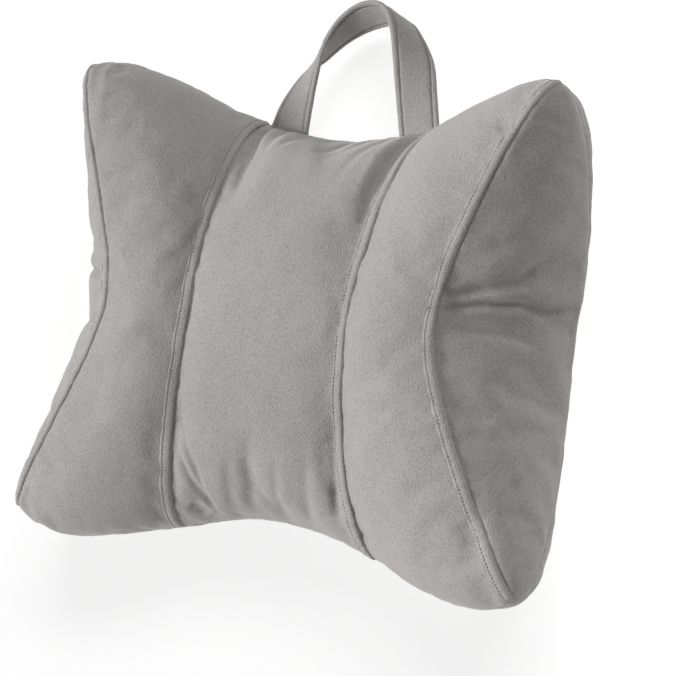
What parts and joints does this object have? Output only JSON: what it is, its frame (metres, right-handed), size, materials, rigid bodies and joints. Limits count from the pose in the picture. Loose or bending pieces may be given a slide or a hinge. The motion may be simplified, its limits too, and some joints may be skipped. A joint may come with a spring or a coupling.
{
  "type": "back cushion",
  "caption": "Filled back cushion with a bow-tie outline, drawn-in waist, pointed side gussets, felled seams and a carry strap loop on its top seam.",
  "frame": {"origin": "middle of the flat patch of the back panel that the cushion rests on", "axes": "+X across the cushion to the right as its face is seen, +Y up the cushion towards the carry strap, +Z out of its face"},
  "size_m": [0.499, 0.5077, 0.1386],
  "materials": {
    "cover_cloth": "short grey velvet pile, matt with a soft sheen, cloudy where the pile lies differently",
    "strap_cloth": "the same grey velvet, folded and topstitched in thread of its own colour"
  },
  "bodies": {
    "root": {"cushion_body": "cover_cloth", "carry_handle": "strap_cloth"}
  },
  "joints": []
}
